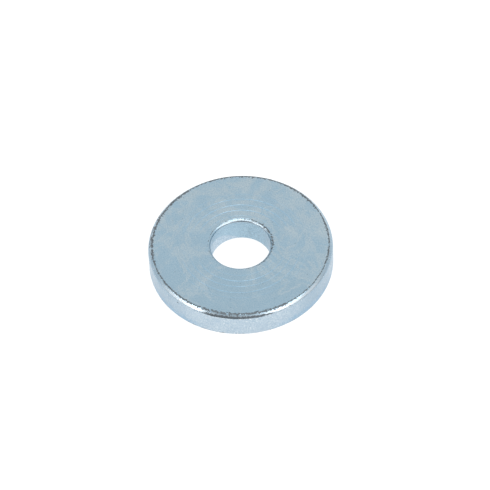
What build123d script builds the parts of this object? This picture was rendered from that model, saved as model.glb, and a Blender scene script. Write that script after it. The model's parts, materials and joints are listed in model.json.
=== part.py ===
from build123d import *

import os

# Thick flat washer for an M12 bolt: one turned steel ring with a clearance hole.
#
# Millimetres. +Z runs up the bolt's axis, and the origin is the centre of the underside, the
# face that lies on the clamped work. The chamfered face is up, under the bolt's head or nut.

# Driving dimensions
outer_diameter = 40.0
hole_diameter = 13.0  # the standard clearance hole for an M12 bolt
thickness = 6.0

# Chamfers of the two upper edges
rim_chamfer = 0.8  # leg of the 45 degree chamfer round the outside
mouth_width = 0.5  # how far the hole's mouth is opened out, across the upper face
mouth_depth = 0.38  # and down the hole

# Radii that deburring and tumbling leave
rim_foot_round = 0.8  # where the outer chamfer runs into the outer wall
chamfer_round = 0.15  # the chamfers' other edges
lower_round = 0.2  # the two edges of the underside

# Corners of the ring's section, as (distance from the axis, height)
hole_radius = hole_diameter / 2
outer_radius = outer_diameter / 2
hole_foot = (hole_radius, 0)
wall_foot = (outer_radius, 0)
rim_foot = (outer_radius, thickness - rim_chamfer)
rim_edge = (outer_radius - rim_chamfer, thickness)
mouth_edge = (hole_radius + mouth_width, thickness)
mouth_foot = (hole_radius, thickness - mouth_depth)


def corner(section, place):
    """The section's vertex at a corner's place in the sketch plane."""
    return section.vertices().sort_by_distance((*place, 0))[0]


with BuildPart() as washer:
    with BuildSketch(Plane.XZ) as section:
        with BuildLine():
            Polyline(hole_foot, wall_foot, rim_foot, rim_edge, mouth_edge, mouth_foot, close=True)
        make_face()
        fillet(corner(section.sketch_local, rim_foot), rim_foot_round)
        for edge in (rim_edge, mouth_edge, mouth_foot):
            fillet(corner(section.sketch_local, edge), chamfer_round)
        for edge in (hole_foot, wall_foot):
            fillet(corner(section.sketch_local, edge), lower_round)
    revolve(axis=Axis.Z)

washer.part.label = "washer"

os.makedirs("parts", exist_ok=True)
export_step(washer.part, "parts/washer.step")
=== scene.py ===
import json
import math

import bpy
import numpy as np
from mathutils import Matrix, Vector, noise


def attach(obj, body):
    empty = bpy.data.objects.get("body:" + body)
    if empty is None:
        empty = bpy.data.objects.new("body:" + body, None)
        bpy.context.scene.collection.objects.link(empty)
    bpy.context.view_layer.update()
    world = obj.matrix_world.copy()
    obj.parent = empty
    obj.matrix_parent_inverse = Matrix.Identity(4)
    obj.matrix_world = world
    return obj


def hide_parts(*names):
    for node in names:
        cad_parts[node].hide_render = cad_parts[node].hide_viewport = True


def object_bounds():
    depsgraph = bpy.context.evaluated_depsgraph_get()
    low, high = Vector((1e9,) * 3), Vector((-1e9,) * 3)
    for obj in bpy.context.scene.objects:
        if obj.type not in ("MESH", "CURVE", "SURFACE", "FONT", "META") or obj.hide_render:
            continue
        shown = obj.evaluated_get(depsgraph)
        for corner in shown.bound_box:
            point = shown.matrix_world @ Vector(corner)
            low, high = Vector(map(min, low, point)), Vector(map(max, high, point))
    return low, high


# Flat washer: the steel ring is turned here as a fine mesh inside the CAD ring's envelope, with
# the tool marks, nicked edges and plating of a real one. Metres, +Z up the bolt's axis, and the
# front is at -Y.

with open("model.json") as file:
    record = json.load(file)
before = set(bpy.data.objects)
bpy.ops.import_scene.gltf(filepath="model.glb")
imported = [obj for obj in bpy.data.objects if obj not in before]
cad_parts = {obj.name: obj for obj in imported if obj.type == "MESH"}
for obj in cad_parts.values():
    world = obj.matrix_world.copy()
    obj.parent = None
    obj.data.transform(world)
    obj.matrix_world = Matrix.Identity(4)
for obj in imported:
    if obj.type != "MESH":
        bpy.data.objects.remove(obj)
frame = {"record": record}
cad_low, cad_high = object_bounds()

MM = 0.001

# Sizes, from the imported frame
bolt_hole = next(m for m in frame["record"]["mounts"] if m["name"] == "bolt_hole")
hole_radius = bolt_hole["dims"]["r_mm"] * MM
outer_radius = cad_high.x
thickness = cad_high.z

# Edges of the section
rim_chamfer = 0.8 * MM
rim_foot_round = 0.8 * MM
mouth_width = 0.5 * MM
mouth_depth = 0.38 * MM
rim_round = 0.18 * MM
mouth_round = 0.6 * MM
lower_round = 0.2 * MM

# The section's sharp corners, and the middles of its two slopes, as (radius, height)
rim_edge = (outer_radius - rim_chamfer, thickness)
rim_foot = (outer_radius, thickness - rim_chamfer)
mouth_edge = (hole_radius + mouth_width, thickness)
mouth_foot = (hole_radius, thickness - mouth_depth)
rim_slope = (outer_radius - 0.5 * rim_chamfer, thickness - 0.5 * rim_chamfer)
mouth_slope = (hole_radius + 0.5 * mouth_width, thickness - 0.5 * mouth_depth)

# Other rings that wear follows, as (radius, height); the scuff line also carries a painted dark
# reflection in front
worn_edge = (outer_radius - 1.08 * rim_chamfer, thickness)
scuff_and_reflection_line = (outer_radius - 0.3 * rim_chamfer, thickness - 0.7 * rim_chamfer)
wall_top = (outer_radius, thickness - 1.5 * rim_chamfer)
wall_foot = (outer_radius, 0.0)

# Mesh density
turns = 800
flat_step = 1.0 * MM
wall_step = 0.55 * MM
chamfer_step = 0.15 * MM
round_steps = 5

# Ring scratches that the facing tool left round the hole: radius, and depth as a share
tool_marks = [
    (8.3 * MM, 0.6),
    (9.85 * MM, 1.0),
    (11.35 * MM, 0.95),
    (13.0 * MM, 0.9),
    (14.4 * MM, 0.45),
]
mark_half_width = 0.12 * MM
mark_depth = 0.05 * MM
mark_centre = Vector((0.0, -0.45 * MM, 0.0))
mark_points = (-1.2, -1.0, -0.6, 0.0, 0.6, 1.0, 1.2)  # across a scratch, in half widths

# Nicks along the upper edges, and the slow waviness of every surface
nick_reach = 0.35 * MM
nick_depth = 0.02 * MM
nick_size = 0.8 * MM
cluster_size = 4 * nick_size
wave_depth = 0.004 * MM
wave_size = 3.5 * MM

# Camera, with its angles in degrees
view_azimuth = 0.0
view_elevation = 50.9
view_roll = -2.7
camera_distance = 32 * outer_radius
camera_lens = 215.3
aim_point = Vector((0.0486, 0.2231, 0.0)) * outer_radius

# Studio
table_reach = 60 * outer_radius
table_sides = 64
table_gap = 0.02 * MM
light_distance = 0.5


# --- Section of the ring ---------------------------------------------------------------------


def spaced(start, end, step):
    """Points from start towards end, about step apart, with start and end themselves left out."""
    count = max(1, round(math.dist(start, end) / step))
    return [tuple(np.add(start, np.subtract(end, start) * i / count)) for i in range(1, count)]


def rounded(corner, before, after, radius):
    """Arc that rounds a corner of the section between its two neighbours."""
    corner, before, after = Vector(corner), Vector(before), Vector(after)
    towards_before = (before - corner).normalized()
    towards_after = (after - corner).normalized()
    half_angle = towards_before.angle(towards_after) / 2
    centre = corner + (towards_before + towards_after).normalized() * radius / math.sin(half_angle)
    tangent = radius / math.tan(half_angle)
    first = corner + towards_before * tangent - centre
    last = corner + towards_after * tangent - centre
    swing = first.angle(last)
    arc = []
    for i in range(round_steps + 1):
        share = i / round_steps
        spoke = first * math.sin((1 - share) * swing) + last * math.sin(share * swing)
        arc.append(tuple(centre + spoke / math.sin(swing)))
    return arc


def marked_face(start, end):
    """The upper face's section points, with the extra ones that each ring scratch needs."""
    height = start[1]
    radii = {radius for radius, _ in spaced(start, end, flat_step)}
    for mark, _ in tool_marks:
        radii = {r for r in radii if abs(r - mark) > 2 * mark_half_width}
        radii |= {mark + mark_half_width * across for across in mark_points}
    radii |= {start[0] - nick_reach, end[0] + nick_reach}
    return [(r, height) for r in sorted(radii, reverse=True)]


def section_outline():
    """Closed outline of the ring's section, from the hole's lower edge outwards and up."""
    corners = [
        ((hole_radius, 0.0), lower_round),
        (wall_foot, lower_round),
        (rim_foot, rim_foot_round),
        (rim_edge, rim_round),
        (mouth_edge, mouth_round),
        (mouth_foot, mouth_round),
    ]
    count = len(corners)
    arcs = []
    for i, (corner, radius) in enumerate(corners):
        arcs.append(rounded(corner, corners[i - 1][0], corners[(i + 1) % count][0], radius))
    underside = spaced(arcs[0][-1], arcs[1][0], flat_step)
    wall = spaced(arcs[1][-1], arcs[2][0], wall_step)
    rim = spaced(arcs[2][-1], arcs[3][0], chamfer_step)
    face = marked_face(arcs[3][-1], arcs[4][0])
    mouth = spaced(arcs[4][-1], arcs[5][0], chamfer_step)
    bore = spaced(arcs[5][-1], arcs[0][0], wall_step)
    outline = []
    for arc, run in zip(arcs, [underside, wall, rim, face, mouth, bore]):
        outline += arc + run
    return np.array(outline)


def inward(outline):
    """Unit vectors into the metal at each point of the section outline."""
    along = np.roll(outline, -1, axis=0) - np.roll(outline, 1, axis=0)
    into = np.stack([-along[:, 1], along[:, 0]], axis=1)
    return into / np.linalg.norm(into, axis=1)[:, None]


# --- Relief ----------------------------------------------------------------------------------


def edge_nearness(radius, height):
    """1 on a sharp upper edge of the section, falling to 0 at nick_reach from it."""
    gap = min(math.dist((radius, height), edge) for edge in (rim_edge, mouth_edge, mouth_foot))
    return max(0.0, 1 - gap / nick_reach)


def nick(point, nearness):
    """Depth of the nicks at a point near an edge: small flakes, in clusters."""
    flakes = noise.fractal(point / nick_size, 1.0, 2.0, 2) + 0.35
    clusters = noise.noise(point / cluster_size) + 0.6
    return nick_depth * nearness * max(0.0, clusters) * max(0.0, flakes)


def tool_mark(radius, angle):
    """Depth of the ring scratches at a point of the upper face, uneven round the ring."""
    deeper_behind = 0.88 + 0.12 * math.sin(angle)
    depth = 0.0
    for i, (mark, share) in enumerate(tool_marks):
        across = abs(radius - mark) / mark_half_width
        if across < 1:
            bite = 0.85 + 0.15 * math.sin(3 * angle + 2.1 * i) * math.sin(7 * angle + i)
            depth += mark_depth * share * bite * deeper_behind * (1 - across)
    return depth


def off_centre(radius, height):
    """Sideways shift, within the upper face, that puts the ring scratches on their own centre."""
    if height < thickness:
        return Vector()
    from_hole = (radius - mouth_edge[0]) / (tool_marks[0][0] - mouth_edge[0])
    from_rim = (rim_edge[0] - radius) / (rim_edge[0] - tool_marks[-1][0])
    return mark_centre * min(1.0, max(0.0, from_hole), max(0.0, from_rim))


def relief(point, radius, height, angle, nearness):
    """How far the real surface lies inside the ideal one at a point."""
    depth = wave_depth * (1 + noise.noise(point / wave_size))
    if nearness > 0:
        depth += nick(point, nearness)
    if height == thickness:
        depth += tool_mark(radius, angle)
    return depth


def turned_ring():
    """The whole ring as one closed mesh: the section turned about the axis, with its relief."""
    outline = section_outline()
    into = inward(outline)
    nearness = [edge_nearness(r, z) for r, z in outline]
    verts = []
    for j in range(turns):
        angle = 2 * math.pi * j / turns
        out = Vector((math.cos(angle), math.sin(angle), 0))
        for (radius, height), (in_radius, in_height), near in zip(outline, into, nearness):
            ideal = out * radius + Vector((0, 0, height)) + off_centre(radius, height)
            depth = relief(ideal, radius, height, angle, near)
            verts.append(ideal + (out * in_radius + Vector((0, 0, in_height))) * depth)
    rows = len(outline)
    faces = []
    for j in range(turns):
        here = j * rows
        there = (j + 1) % turns * rows
        for i in range(rows):
            k = (i + 1) % rows
            faces.append((here + i, there + i, there + k, here + k))
    mesh = bpy.data.meshes.new("plated_ring")
    mesh.from_pydata(verts, [], faces)
    mesh.shade_smooth()
    mesh.validate()
    made = bpy.data.objects.new("plated_ring", mesh)
    bpy.context.scene.collection.objects.link(made)
    return made


# --- Colours ---------------------------------------------------------------------------------


def linear(red, green, blue):
    """A colour given in ordinary 0 to 255 screen values, as the linear colour a shader takes."""
    shares = [value / 255 for value in (red, green, blue)]
    return (*[s / 12.92 if s < 0.04045 else ((s + 0.055) / 1.055) ** 2.4 for s in shares], 1.0)


# Flat faces
passivated = linear(167, 191, 205)
passivated_front = linear(165, 188, 201)
dried_film = linear(187, 201, 207)
speck = linear(118, 128, 134)
# Painted glint along the ring scratches
scratch_glint = linear(156, 196, 222)

# Outer wall
wall = linear(191, 204, 215)
wall_mottle = linear(202, 213, 220)
# Painted shade on the outer wall's left and right sides
wall_side_shade = linear(160, 179, 193)
# Painted shade, darker and bluer, low on the outer wall's sides
wall_foot_shade = linear(152, 184, 208)
wall_fleck = linear(244, 246, 246)

# Wall of the hole
bore_middle = linear(178, 203, 217)
bore_side = linear(157, 184, 201)
bore_worn = linear(156, 178, 190)
bore_wiped = linear(200, 214, 225)

# Everywhere
grain_dark = linear(128, 162, 184)
# Painted highlight on the rim's and the mouth's slopes
highlight_colour = linear(210, 217, 222)
# Dark of the edge stains, and of the painted dark reflection low on the front of the rim's slope
stain_and_reflection_colour = linear(106, 114, 120)

# Studio
table_darker = (0.34, 0.34, 0.34, 1.0)
table_lighter = (0.36, 0.36, 0.36, 1.0)
card_black = (0.02, 0.02, 0.02, 1.0)
white = (1.0, 1.0, 1.0, 1.0)

# Shift, in millimetres, of the noise behind the streaks: unshifted it draws a line along x = 0
streak_shift = (-27.0, 33.0, 15.0)


# --- Materials -------------------------------------------------------------------------------


class Graph:
    """Short calls that add nodes to one material and link them."""

    def __init__(self, name):
        self.material = bpy.data.materials.new(name)
        self.material.use_nodes = True
        self.tree = self.material.node_tree
        self.shader = self.tree.nodes["Principled BSDF"]

    def node(self, kind, inputs, **settings):
        made = self.tree.nodes.new(kind)
        for key, value in settings.items():
            setattr(made, key, value)
        for key, value in inputs.items():
            if isinstance(value, bpy.types.NodeSocket):
                self.tree.links.new(value, made.inputs[key])
            else:
                made.inputs[key].default_value = value
        return made

    def position(self):
        """The point on the object, in millimetres."""
        coordinates = self.node("ShaderNodeTexCoord", {})
        scaled = {0: coordinates.outputs["Object"], "Scale": 1 / MM}
        return self.node("ShaderNodeVectorMath", scaled, operation="SCALE").outputs[0]

    def math(self, operation, first, second=0.0, third=0.0):
        inputs = {0: first, 1: second, 2: third}
        return self.node("ShaderNodeMath", inputs, operation=operation).outputs[0]

    def product(self, first, *others):
        for other in others:
            first = self.math("MULTIPLY", first, other)
        return first

    def length(self, across, up):
        """Length of the diagonal of two sides at right angles."""
        return self.math("SQRT", self.math("MULTIPLY_ADD", across, across, self.product(up, up)))

    def apart(self, value, other):
        """How far two values are apart."""
        return self.math("ABSOLUTE", self.math("SUBTRACT", value, other))

    def ramp(self, value, low, high, start=0.0, end=1.0):
        """A smooth step from start to end as value goes from low to high."""
        inputs = {"Value": value, "From Min": low, "From Max": high, "To Min": start, "To Max": end}
        return self.node("ShaderNodeMapRange", inputs, interpolation_type="SMOOTHSTEP").outputs[0]

    def noise(self, place, scale, detail=2.0, roughness=0.5, distortion=0.0):
        inputs = {
            "Vector": place,
            "Scale": scale,
            "Detail": detail,
            "Roughness": roughness,
            "Distortion": distortion,
        }
        return self.node("ShaderNodeTexNoise", inputs).outputs["Fac"]

    def specks(self, place, scale, rarity, size):
        """Scattered dots in the first two directions of place, in a share of the cells."""
        inputs = {"Vector": place, "Scale": scale}
        cells = self.node("ShaderNodeTexVoronoi", inputs, voronoi_dimensions="2D")
        lot = self.node("ShaderNodeSeparateColor", {0: cells.outputs["Color"]}).outputs[0]
        dot = self.ramp(cells.outputs["Distance"], size * scale, 1.6 * size * scale, 1.0, 0.0)
        return self.product(self.ramp(lot, rarity, rarity + 0.02), dot)

    def mix(self, share, first, second):
        """A colour between first and second."""
        return self.node("ShaderNodeMix", {0: share, 6: first, 7: second}, data_type="RGBA").outputs[2]

    def shade(self, **inputs):
        """Sets or links the shader's own sockets, named with _ for a space."""
        for key, value in inputs.items():
            socket = self.shader.inputs[key.replace("_", " ")]
            if isinstance(value, bpy.types.NodeSocket):
                self.tree.links.new(value, socket)
            else:
                socket.default_value = value


class RingGraph(Graph):
    """The ring's material. All places and lengths in its nodes are in millimetres."""

    def __init__(self, name):
        super().__init__(name)
        self.place = self.position()
        self.x, self.y, self.z = self.node("ShaderNodeSeparateXYZ", {0: self.place}).outputs
        self.radius = self.length(self.x, self.y)

    def unrolled(self):
        """The outer wall laid out flat: along it, and up it."""
        angle = self.math("ARCTAN2", self.y, self.x)
        along = self.product(angle, outer_radius / MM)
        return self.node("ShaderNodeCombineXYZ", {0: along, 1: self.z}).outputs[0]

    def gap_to(self, ring):
        """Distance to a ring round the axis given as (radius, height)."""
        off_radius = self.math("SUBTRACT", self.radius, ring[0] / MM)
        off_height = self.math("SUBTRACT", self.z, ring[1] / MM)
        return self.length(off_height, off_radius)


def zinc_plating():
    """Bright zinc with a pale blue passivation: cloudy, satin, and dark where edges are nicked; with
    painted highlights on the slopes and scratches, painted shade on the outer wall, and painted dark
    reflection low on the rim's front.
    """
    g = RingGraph("zinc_plated_steel")
    grain = g.noise(g.place, 4.0, detail=3.0, roughness=0.75)
    # Dark edge stains, with a painted dark reflection along the front of the rim's slope
    stain_and_reflection = edge_stain_and_reflection(g)

    on_wall = g.ramp(g.radius, (outer_radius - 0.75 * MM) / MM, (outer_radius - 0.4 * MM) / MM)
    in_hole = g.ramp(g.radius, (hole_radius + 0.1 * MM) / MM, (hole_radius + 0.3 * MM) / MM, 1.0, 0.0)
    # Painted glint: bright blue along the ring scratches, before and behind the hole
    flat = g.mix(scratch_glints(g), face_colour(g), scratch_glint)
    plating = g.mix(on_wall, flat, wall_colour(g))
    plating = g.mix(in_hole, plating, hole_colour(g))
    plating = g.mix(g.ramp(grain, 0.38, 0.62, 0.0, 0.6), plating, grain_dark)
    # Painted highlight: paler metal where the lights glint on the rim's slope in front and the mouth's
    # slope behind
    plating = g.mix(painted_highlights(g), plating, highlight_colour)
    colour = g.mix(stain_and_reflection, plating, stain_and_reflection_colour)

    satin = g.ramp(g.noise(g.place, 0.3, detail=3.0), 0.35, 0.65, 0.3, 0.37)
    smoother_rim = g.ramp(g.gap_to(rim_slope), 0.4, 0.9, -0.08, 0.0)
    roughness = g.math("ADD", g.math("MULTIPLY_ADD", stain_and_reflection, 0.25, satin), smoother_rim)

    dents = g.noise(g.place, 1.1, detail=2.0)
    height = g.math("MULTIPLY_ADD", dents, 2.0, grain)
    bump = g.node("ShaderNodeBump", {"Height": height, "Strength": 0.12, "Distance": 0.05 * MM})
    g.shade(Base_Color=colour, Metallic=1.0, Roughness=roughness, Normal=bump.outputs[0])
    return g.material


def face_colour(g):
    """Flat faces: blue-grey, with warmer clouds and streaks where the passivation dried."""
    clouds = g.noise(g.place, 0.18, detail=9.0, roughness=0.68, distortion=0.4)
    drift = g.math("MULTIPLY_ADD", g.y, 0.004, g.ramp(g.x, 8.0, 16.0, 0.0, 0.05))
    clouds = g.ramp(g.math("ADD", clouds, drift), 0.47, 0.65)
    shifted = {0: g.place, 1: streak_shift}
    elsewhere = g.node("ShaderNodeVectorMath", shifted, operation="ADD").outputs[0]
    drying = g.noise(elsewhere, 0.09, detail=7.0, roughness=0.6, distortion=0.8)
    streaks = g.ramp(g.apart(drying, 0.5), 0.0, 0.045, 0.8, 0.0)
    blue = g.mix(g.ramp(g.y, -15.0, 0.0), passivated_front, passivated)
    plating = g.mix(g.math("MAXIMUM", clouds, streaks), blue, dried_film)
    return g.mix(g.specks(g.place, 0.42, 0.8, 0.07), plating, speck)


def scratch_glints(g):
    """Share of painted glint, bright blue along the ring scratches, before and behind the hole where
    they catch the light.
    """
    from_centre = g.length(g.x, g.math("SUBTRACT", g.y, mark_centre.y / MM))
    lines = 0.0
    for mark, share in tool_marks:
        line = g.ramp(g.apart(from_centre, mark / MM), 0.06, 0.13, 0.65 * share, 0.0)
        lines = g.math("ADD", lines, line)
    front_or_back = g.ramp(g.apart(g.y, 0.0), 2.0, 7.0)
    fainter_in_front = g.ramp(g.y, -3.0, 3.0, 0.85, 1.0)
    return g.product(lines, front_or_back, fainter_in_front)


def wall_colour(g):
    """Outer wall: paler and mottled, with a few bright flecks; painted shade darkens it towards the
    left and right, and makes it bluer in places along the foot on those sides.
    """
    mottle = g.ramp(g.noise(g.place, 0.9, detail=6.0, roughness=0.75), 0.35, 0.65)
    sideways = g.apart(g.x, -1.0)
    plating = g.mix(mottle, wall, wall_mottle)
    # Painted shade: the wall darker towards its left and right sides
    plating = g.mix(g.ramp(sideways, 8.5, 17.0, 0.0, 0.75), plating, wall_side_shade)
    # Painted shade: darker, bluer patches low on the sides, where the wall mirrors the table by its
    # foot
    foot_shade_patches = g.noise(g.place, 0.8, detail=5.0, roughness=0.7)
    low = g.ramp(g.math("MULTIPLY_ADD", foot_shade_patches, 4.0, g.z), 2.4, 4.4, 0.7, 0.0)
    plating = g.mix(g.product(g.ramp(sideways, 6.0, 12.0), low), plating, wall_foot_shade)
    flecks = g.specks(g.unrolled(), 1.4, 0.78, 0.1)
    return g.mix(g.product(flecks, g.ramp(sideways, 2.0, 6.0, 0.9, 0.3)), plating, wall_fleck)


def hole_colour(g):
    """Wall of the hole: a deeper blue, greyer and speckled on one side and paler on the other."""
    blue = g.mix(g.ramp(g.apart(g.x, 0.0), 3.5, 6.5), bore_middle, bore_side)
    speckle = g.ramp(g.noise(g.place, 2.4, detail=4.0, roughness=0.75), 0.42, 0.58)
    worn = g.mix(g.product(speckle, g.ramp(g.x, -2.0, 3.0)), blue, bore_worn)
    wiped_height = g.ramp(g.x, -6.0, 1.5, 3.2, 0.0)
    over_wiped = g.math("SUBTRACT", g.z, wiped_height)
    over_wiped = g.math("ADD", g.noise(g.place, 1.5, detail=4.0), over_wiped)
    wiped = g.product(g.ramp(over_wiped, 0.4, 0.6, 0.95, 0.0), g.ramp(g.x, -6.3, -5.8))
    return g.mix(wiped, worn, bore_wiped)


def painted_highlights(g):
    """Share of painted highlight, a paler metal, on the two slopes: the rim's in front where the side
    lights glint, the mouth's behind where the overhead light glints.
    """
    on_rim = g.product(
        g.ramp(g.gap_to(rim_slope), 0.2, 0.45, 0.5, 0.0),
        g.ramp(g.y, -13.0, -8.0, 1.0, 0.0),
        g.ramp(g.apart(g.x, -1.5), 5.0, 8.5),
    )
    on_slope = g.ramp(g.gap_to(mouth_slope), 0.08, 0.24, 0.4, 0.0)
    on_foot = g.ramp(g.gap_to(mouth_foot), 0.15, 0.3, 0.75, 0.0)
    on_mouth = g.product(
        g.math("MAXIMUM", on_slope, on_foot),
        g.ramp(g.y, 2.0, 4.0),
        g.ramp(g.x, -5.5, -3.5),
    )
    return g.math("MAXIMUM", on_rim, on_mouth)


def edge_stain_and_reflection(g):
    """1 where the edges are dark: flakes where nicks and wear broke through the plating, a thin line
    along the wall's foot, and a band low on the rim's slope in front that is partly scuffs and partly
    painted dark reflection.
    """
    patches = g.noise(g.place, 0.25, detail=2.0)
    everywhere = g.ramp(patches, 0.38, 0.62, 0.7, 1.2)
    here_and_there = g.ramp(patches, 0.5, 0.7)

    on_left = g.product(g.ramp(g.x, -14.0, -9.0, 1.0, 0.0), g.ramp(g.y, -6.0, -2.0))
    behind_left = g.product(on_left, g.ramp(g.apart(g.y, 5.0), 4.0, 6.5, 1.0, 0.0))
    more_on_left = g.math("MULTIPLY_ADD", on_left, 0.6, 1.0)
    round_rim = g.product(everywhere, g.ramp(g.y, 0.0, 12.0, 1.0, 1.5), more_on_left)
    in_front = g.product(g.ramp(g.y, -18.0, -14.0, 1.5, 0.5), g.ramp(g.x, -13.5, -11.0))
    # Scuffs low on the rim's slope in front, partly a painted dark reflection of the card
    scuffs_and_reflection = g.product(
        g.ramp(g.x, -9.5, -7.5),
        g.ramp(g.x, 2.0, 8.0, 1.0, 0.2),
        g.ramp(g.y, -10.0, -5.0, 1.0, 0.0),
    )

    less_in_front = g.ramp(g.y, -6.0, -1.0, 0.6, 1.0)
    round_mouth = g.product(g.ramp(g.x, -1.0, 6.0, 0.6, 1.6), less_in_front)
    inside_mouth = g.product(g.ramp(g.x, 4.5, 6.2, 0.15, 1.2), less_in_front)

    # Each ring, how far the dark reaches from it, and the wear there as a share; at the scuff line the
    # share is partly painted dark reflection
    lines = [
        (worn_edge, 0.18, g.math("MAXIMUM", round_rim, in_front)),
        (rim_slope, 0.16, behind_left),
        (scuff_and_reflection_line, 0.27, scuffs_and_reflection),
        (wall_top, 0.03, here_and_there),
        (mouth_edge, 0.13, round_mouth),
        (mouth_foot, 0.09, inside_mouth),
        (wall_foot, 0.15, everywhere),
    ]
    ragged = g.math("SUBTRACT", g.noise(g.place, 2.2, detail=3.0, roughness=0.6), 0.5)
    stain_and_reflection = 0.0
    for ring, width, wear in lines:
        reach = g.product(g.math("ADD", ragged, width), wear)
        dark = g.ramp(g.math("SUBTRACT", reach, g.gap_to(ring)), 0.0, 0.07)
        stain_and_reflection = g.math("MAXIMUM", stain_and_reflection, dark)
    return stain_and_reflection


def white_table():
    """Translucent white table, lit a little from below."""
    g = Graph("white_table")
    mottle = g.noise(g.position(), 0.02)
    g.shade(
        Base_Color=g.mix(mottle, table_darker, table_lighter),
        Roughness=0.9,
        Specular_IOR_Level=0.1,
        Emission_Color=white,
        Emission_Strength=0.75,
    )
    return g.material


def black_card():
    """Matt black card."""
    g = Graph("black_card")
    g.shade(Base_Color=card_black, Roughness=0.9)
    return g.material


# --- Studio ----------------------------------------------------------------------------------


def table(material):
    """Round white table top, a hair under the washer."""
    angles = np.linspace(0, 2 * math.pi, table_sides + 1)[:-1]
    rim = [(math.cos(a) * table_reach, math.sin(a) * table_reach, -table_gap) for a in angles]
    mesh = bpy.data.meshes.new("table")
    mesh.from_pydata(rim, [], [tuple(range(table_sides))])
    mesh.materials.append(material)
    top = bpy.data.objects.new("table", mesh)
    bpy.context.scene.collection.objects.link(top)


def towards(azimuth, elevation):
    """Unit vector from the washer, with azimuth 0 in front and 90 on the right."""
    a, e = math.radians(azimuth), math.radians(elevation)
    return Vector((math.sin(a) * math.cos(e), -math.cos(a) * math.cos(e), math.sin(e)))


def facing_centre(thing, azimuth, elevation):
    """Puts a light or a card on that side of the washer, turned to face it."""
    away = towards(azimuth, elevation)
    thing.location = away * light_distance
    thing.rotation_euler = away.to_track_quat("Z", "Y").to_euler()


def softbox(name, azimuth, elevation, width, height, radiance):
    """Rectangular studio light, which the camera doesn't see."""
    light = bpy.data.lights.new(name, "AREA")
    light.shape = "RECTANGLE"
    light.size = width
    light.size_y = height
    light.energy = radiance * math.pi * width * height
    holder = bpy.data.objects.new(name, light)
    bpy.context.scene.collection.objects.link(holder)
    facing_centre(holder, azimuth, elevation)
    holder.visible_camera = False


def dark_card(azimuth, elevation, width, height, material):
    """Card that puts a dark reflection in the edges, unseen by the camera."""
    x, y = width / 2, height / 2
    mesh = bpy.data.meshes.new("dark_card")
    mesh.from_pydata([(-x, -y, 0), (x, -y, 0), (x, y, 0), (-x, y, 0)], [], [(0, 1, 2, 3)])
    mesh.materials.append(material)
    card = bpy.data.objects.new("dark_card", mesh)
    bpy.context.scene.collection.objects.link(card)
    facing_centre(card, azimuth, elevation)
    card.visible_camera = False


def surroundings(radiance):
    """Even pale room, which the camera sees as white."""
    world = bpy.data.worlds.new("studio")
    world.use_nodes = True
    bpy.context.scene.world = world
    tree = world.node_tree
    tree.nodes.clear()
    room = tree.nodes.new("ShaderNodeBackground")
    room.inputs["Color"].default_value = (radiance, radiance, radiance, 1)
    backdrop = tree.nodes.new("ShaderNodeBackground")
    backdrop.inputs["Color"].default_value = white
    seen = tree.nodes.new("ShaderNodeLightPath")
    either = tree.nodes.new("ShaderNodeMixShader")
    output = tree.nodes.new("ShaderNodeOutputWorld")
    tree.links.new(seen.outputs["Is Camera Ray"], either.inputs[0])
    tree.links.new(room.outputs[0], either.inputs[1])
    tree.links.new(backdrop.outputs[0], either.inputs[2])
    tree.links.new(either.outputs[0], output.inputs["Surface"])


def camera():
    """Long lens from above and in front, rolled slightly as a hand-held camera is."""
    data = bpy.data.cameras.new("camera")
    data.lens = camera_lens
    data.sensor_width = 36
    data.clip_start = 0.01
    data.clip_end = 10
    holder = bpy.data.objects.new("camera", data)
    bpy.context.scene.collection.objects.link(holder)
    away = towards(view_azimuth, view_elevation)
    holder.location = aim_point + away * camera_distance
    roll = Matrix.Rotation(math.radians(view_roll), 4, "Z")
    turn = away.to_track_quat("Z", "Y").to_matrix().to_4x4() @ roll
    holder.rotation_euler = turn.to_euler()
    bpy.context.scene.camera = holder


# --- Scene -----------------------------------------------------------------------------------

ring = turned_ring()
ring.data.materials.append(zinc_plating())
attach(ring, "root")
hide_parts("washer")

table(white_table())
surroundings(radiance=0.965)
softbox("left_softbox", azimuth=-67, elevation=33, width=0.34, height=0.05, radiance=5.0)
softbox("right_softbox", azimuth=44, elevation=36, width=0.35, height=0.045, radiance=5.0)
softbox("far_right_softbox", azimuth=72, elevation=42, width=0.2, height=0.05, radiance=4.0)
softbox("overhead_softbox", azimuth=0, elevation=74, width=0.34, height=0.38, radiance=2.1)
dark_card(azimuth=-10, elevation=18, width=0.58, height=0.3, material=black_card())
camera()
bpy.context.scene.view_settings.view_transform = "Standard"
